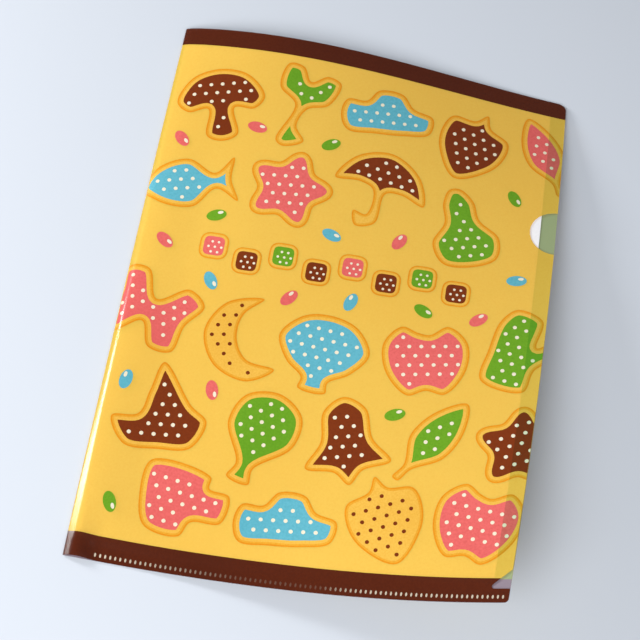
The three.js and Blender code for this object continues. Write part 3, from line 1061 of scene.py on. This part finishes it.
@dataclass
class Motif:
    """One printed biscuit: a crust that pales inwards to dough, a field of icing and dots on it."""

    bend: Bend
    kind: str
    u: float
    v: float
    turn: float
    icing: Ink
    name: str
    crust: float = 0.8
    toast: float = 0.9
    dough: float = 1.7
    dot_radius: float = 1.05
    dot_pitch: float = 6.2
    dot_room: float = 1.5
    dot_places: int = 12
    chips: bool = False
    reach: float = 30.0
    curl_reach: float = 10.0
    cell: float = 3.5
    curl_cell: float = 0.5
    edge_gap: float = 0.05
    layer: float = INK_LAYER

    def outline(self) -> list[Vector]:
        """Draws the motif about its own middle.

        Returns:
            The motif's outline.
        """
        if self.kind in ROUND_MOTIFS:
            return round_outline(*ROUND_MOTIFS[self.kind])
        return smooth_outline(SMOOTH_MOTIFS[self.kind])

    def print_layer(self, bm: bmesh.types.BMesh, outline: list[Vector], layer: Layer) -> None:
        """Adds one flat field of ink to the motif's mesh, at its layer's height."""
        level = Vector((0, 0, layer * self.layer))
        bm.faces.new([bm.verts.new(point + level) for point in outline]).material_index = layer

    def print_dots(self, bm: bmesh.types.BMesh, field_outline: list[Vector]) -> None:
        """Adds dots in staggered rows wherever a whole dot fits on the field.

        Args:
            bm: The motif's mesh.
            field_outline: The field's outline.
        """
        row_pitch = self.dot_pitch * math.sin(math.pi / 3)
        for row in range(int(2 * self.reach / row_pitch) + 1):
            y = -self.reach + row * row_pitch
            for column in range(int(2 * self.reach / self.dot_pitch) + 1):
                x = -self.reach + (column + 0.5 * (row % 2)) * self.dot_pitch
                if inside(field_outline, x, y, self.dot_radius * self.dot_room):
                    dot = round_outline(self.dot_radius, 0.0, 1, self.dot_places)
                    self.print_layer(bm, [Vector((x, y, 0)) + point for point in dot], Layer.DOTS)

    def make(self, nodes: list[str]) -> None:
        """Prints the motif on the bent front.

        Args:
            nodes: The CAD nodes that it stands for.
        """
        bm = bmesh.new()
        outline = self.outline()
        if signed_area(outline) < 0:
            outline.reverse()
        self.print_layer(bm, outline, Layer.CRUST)
        dotted = Layer.DOUGH if self.chips else Layer.ICING
        inset = 0.0
        for layer, below in ((Layer.TOAST, self.crust), (Layer.DOUGH, self.toast), (Layer.ICING, self.dough)):
            inset += below
            parts = shrunk(outline, inset) if layer <= dotted else []
            for part in parts:
                self.print_layer(bm, part, layer)
                if layer is dotted:
                    self.print_dots(bm, part)
        face_up(bm)
        bmesh.ops.transform(bm, matrix=self.bend.on_front(self.u, self.v, self.turn), verts=bm.verts)
        cut_lines(bm, Way.ACROSS, [self.bend.width - self.edge_gap], clear_outer=True)
        cut_lines(bm, Way.ACROSS, [self.bend.fold_radius], clear_inner=True)
        low_u, low_v = (math.floor((middle - self.reach) / self.cell) * self.cell
                        for middle in (self.u, self.v))
        lines = [i * self.cell for i in range(round(2 * self.reach / self.cell) + 1)]
        curled = self.u < self.reach + self.curl_reach
        near = steps(0, 2 * self.bend.curl_length, self.curl_cell) if curled else []
        cut_lines(bm, Way.ACROSS, [low_u + step for step in lines] + near)
        cut_lines(bm, Way.UP, [low_v + step for step in lines])
        thicken(bm, self.layer / 2)
        inks = [Ink.CRUST, Ink.TOAST, Ink.BISCUIT, self.icing, Ink.CHOCOLATE if self.chips else Ink.CREAM]
        finish_piece(bm, self.bend, self.name, [INKS[ink] for ink in inks], nodes)


def inside(edge: list[Vector], x: float, y: float, margin: float) -> bool:
    """Whether a point lies inside an outline and at least a margin from it.

    Args:
        edge: The outline's corners.
        x: The point's first place.
        y: The point's second place.
        margin: The least distance to the outline.

    Returns:
        True where the point lies well inside.
    """
    crossed = False
    point = Vector((x, y, 0))
    for a, b in zip(edge, edge[1:] + edge[:1]):
        if (a.y > y) != (b.y > y) and x < (b.x - a.x) * (y - a.y) / (b.y - a.y) + a.x:
            crossed = not crossed
        along = b - a
        share = min(1.0, max(0.0, (point - a).dot(along) / max(along.length_squared, 1e-9)))
        if (a + along * share - point).length < margin:
            return False
    return crossed


@dataclass
class Drops:
    """Small sugar drops of one colour between the motifs, each an oval with a light spot."""

    bend: Bend
    ink: Ink
    places: list[tuple[float, float, float]]
    length: float = 5.4
    width: float = 3.2
    spot_length: float = 1.54
    spot_width: float = 0.88
    spot_place: tuple[float, float] = (0.45, 0.35)
    segments: int = 28
    layer: float = INK_LAYER
    cell: float = 2.0

    def make(self) -> None:
        """Prints the drops."""
        bm = bmesh.new()
        for u, v, turn in self.places:
            place = self.bend.on_front(u, v, turn)
            body = Matrix.Diagonal((self.length, self.width, 1, 1))
            bmesh.ops.create_circle(bm, cap_ends=True, radius=1.0, segments=self.segments,
                                    matrix=place @ body)
            along, aside = self.spot_place
            shift = Matrix.Translation((self.length * along, self.width * aside, self.layer))
            spot = Matrix.Diagonal((self.spot_length, self.spot_width, 1, 1))
            made = bmesh.ops.create_circle(bm, cap_ends=True, radius=1.0, segments=self.segments // 2,
                                           matrix=place @ shift @ spot)
            for vertex in made["verts"]:
                vertex.link_faces[0].material_index = 1
        face_up(bm)
        cut_lines(bm, Way.ACROSS, steps(0, self.bend.width, self.cell))
        cut_lines(bm, Way.UP, steps(0, self.bend.height, self.cell))
        thicken(bm, self.layer / 2)
        name = self.ink.name.lower()
        finish_piece(bm, self.bend, f"ink_drops_{name}", [INKS[self.ink], INKS[Ink.CREAM]], [])


@dataclass
class Print:
    """All motifs of the front."""

    bend: Bend
    tile_count: int = 8
    tile_pitch: float = 18.5
    tile_start: float = 42.0
    tile_level: float = 174.0
    tile_rise: float = 3.0
    tile_inks: tuple[Ink, ...] = (Ink.PINK, Ink.CHOCOLATE, Ink.GREEN, Ink.CHOCOLATE)
    chipped: tuple[str, ...] = ("print_moon_1", "print_acorn_2")
    drops: tuple[tuple[float, float, float, Ink], ...] = (
        (196, 237, -60, Ink.GREEN), (16, 176, -40, Ink.PINK), (202, 184, 10, Ink.BLUE),
        (138, 197, 60, Ink.PINK), (17, 30, -70, Ink.GREEN), (102, 194, -20, Ink.BLUE),
        (93, 248, 30, Ink.GREEN), (12, 95, 80, Ink.BLUE), (13, 238, -50, Ink.PINK),
        (150, 97, 20, Ink.GREEN), (86, 154, 50, Ink.PINK), (56, 97, -75, Ink.PINK),
        (156, 158, -30, Ink.GREEN), (40, 195, 20, Ink.GREEN), (118, 157, 70, Ink.BLUE),
        (44, 157, -60, Ink.BLUE), (52, 251, -10, Ink.PINK), (185, 157, 40, Ink.PINK),
    )

    def make(self) -> None:
        """Prints the scattered motifs and the row of tiles."""
        counts: dict[str, int] = {}
        for kind, u, v, turn, ink in LAYOUT:
            counts[kind] = counts.get(kind, 0) + 1
            node = f"print_{kind}_{counts[kind]}"
            name = f"ink_{kind}_{counts[kind]}"
            Motif(self.bend, kind, u, v, turn, ink, name, chips=node in self.chipped).make([node])
        for ink in (Ink.PINK, Ink.GREEN, Ink.BLUE):
            places = [drop[:3] for drop in self.drops if drop[3] is ink]
            Drops(self.bend, ink, places).make()
        for i in range(self.tile_count):
            rise = self.tile_rise if i % 2 == 0 else -self.tile_rise
            ink = self.tile_inks[i % len(self.tile_inks)]
            Motif(self.bend, "tile", self.tile_start + i * self.tile_pitch, self.tile_level + rise, 0.0, ink,
                  f"ink_tile_{i + 1}", crust=0.5, toast=0.5, dough=1.2, dot_radius=0.7, dot_pitch=3.4,
                  ).make([f"print_tile_{i + 1}"])


# The studio


@dataclass(frozen=True)
class Lamp:
    """A soft area lamp that faces the folder, in metres and watts."""

    name: str
    place: tuple[float, float, float]
    size: tuple[float, float]
    power: float

    def light(self) -> None:
        """Sets the lamp up."""
        data = bpy.data.lights.new(self.name, "AREA")
        data.shape = "RECTANGLE"
        data.size, data.size_y = self.size
        data.energy = self.power
        lamp = bpy.data.objects.new(self.name, data)
        lamp.location = self.place
        lamp.rotation_euler = (-Vector(self.place)).to_track_quat("-Z", "Y").to_euler()
        bpy.context.collection.objects.link(lamp)


@dataclass
class Studio:
    """A pale floor, soft lamps and the camera at the photograph's angle.

    The window lamp stands low on the left, so that the curl beside the fold mirrors it as a bright line.
    """

    camera_place: tuple[float, float, float] = (-0.0257, -0.3794, 0.8178)
    look: tuple[float, float, float] = (0.02181, 0.41564, -0.90927)
    up: tuple[float, float, float] = (-0.18682, 0.89516, 0.40471)
    lens_mm: float = 96.42
    sensor_mm: float = 36.0
    floor_size: float = 6.0
    floor_gap: float = 0.0002
    clip_end: float = 50.0
    world_colour: str = "f4f6fa"
    world_strength: float = 0.2
    lamps: tuple[Lamp, ...] = (
        Lamp("key", (-0.35, -0.85, 1.0), (0.8, 0.8), 16.0),
        Lamp("fill", (0.9, -0.9, 1.5), (1.2, 1.2), 9.0),
        Lamp("window", (-0.9, 0.22, 0.36), (0.2, 0.3), 7.0),
    )

    def camera(self) -> None:
        """Sets the camera."""
        back = -Vector(self.look).normalized()
        right = Vector(self.up).cross(back).normalized()
        up = back.cross(right)
        turn = Matrix((right, up, back)).transposed().to_4x4()
        data = bpy.data.cameras.new("camera")
        data.lens = self.lens_mm
        data.sensor_width = self.sensor_mm
        data.clip_end = self.clip_end
        camera = bpy.data.objects.new("camera", data)
        camera.matrix_world = Matrix.Translation(self.camera_place) @ turn
        bpy.context.collection.objects.link(camera)
        bpy.context.scene.camera = camera

    def floor(self) -> None:
        """Lays the floor."""
        bm = bmesh.new()
        bmesh.ops.create_grid(bm, x_segments=4, y_segments=4, size=self.floor_size / 2,
                              matrix=Matrix.Translation((0, 0, -self.floor_gap)))
        mesh = bpy.data.meshes.new("floor")
        bm.to_mesh(mesh)
        bm.free()
        mesh.materials.append(material_of(FloorCard()))
        floor = bpy.data.objects.new("floor", mesh)
        bpy.context.collection.objects.link(floor)

    def world(self) -> None:
        """Lights the surroundings evenly."""
        world = bpy.data.worlds.new("world")
        world.use_nodes = True
        background = world.node_tree.nodes["Background"]
        background.inputs["Color"].default_value = linear(self.world_colour)
        background.inputs["Strength"].default_value = self.world_strength
        bpy.context.scene.world = world

    def make(self) -> None:
        """Builds the studio."""
        bpy.context.scene.view_settings.view_transform = "Standard"
        self.camera()
        self.floor()
        self.world()
        for lamp in self.lamps:
            lamp.light()


def main() -> None:
    """Builds the folder and its studio."""
    logging.basicConfig(level=logging.INFO, format="%(name)s %(message)s")
    Studio().make()
    bend = Bend()
    bend.settle("folder_film")
    FolderFilm(bend).make()
    PaperInsert(bend).make()
    WeldDots(bend).make()
    Print(bend).make()


if __name__ == "__main__":
    main()
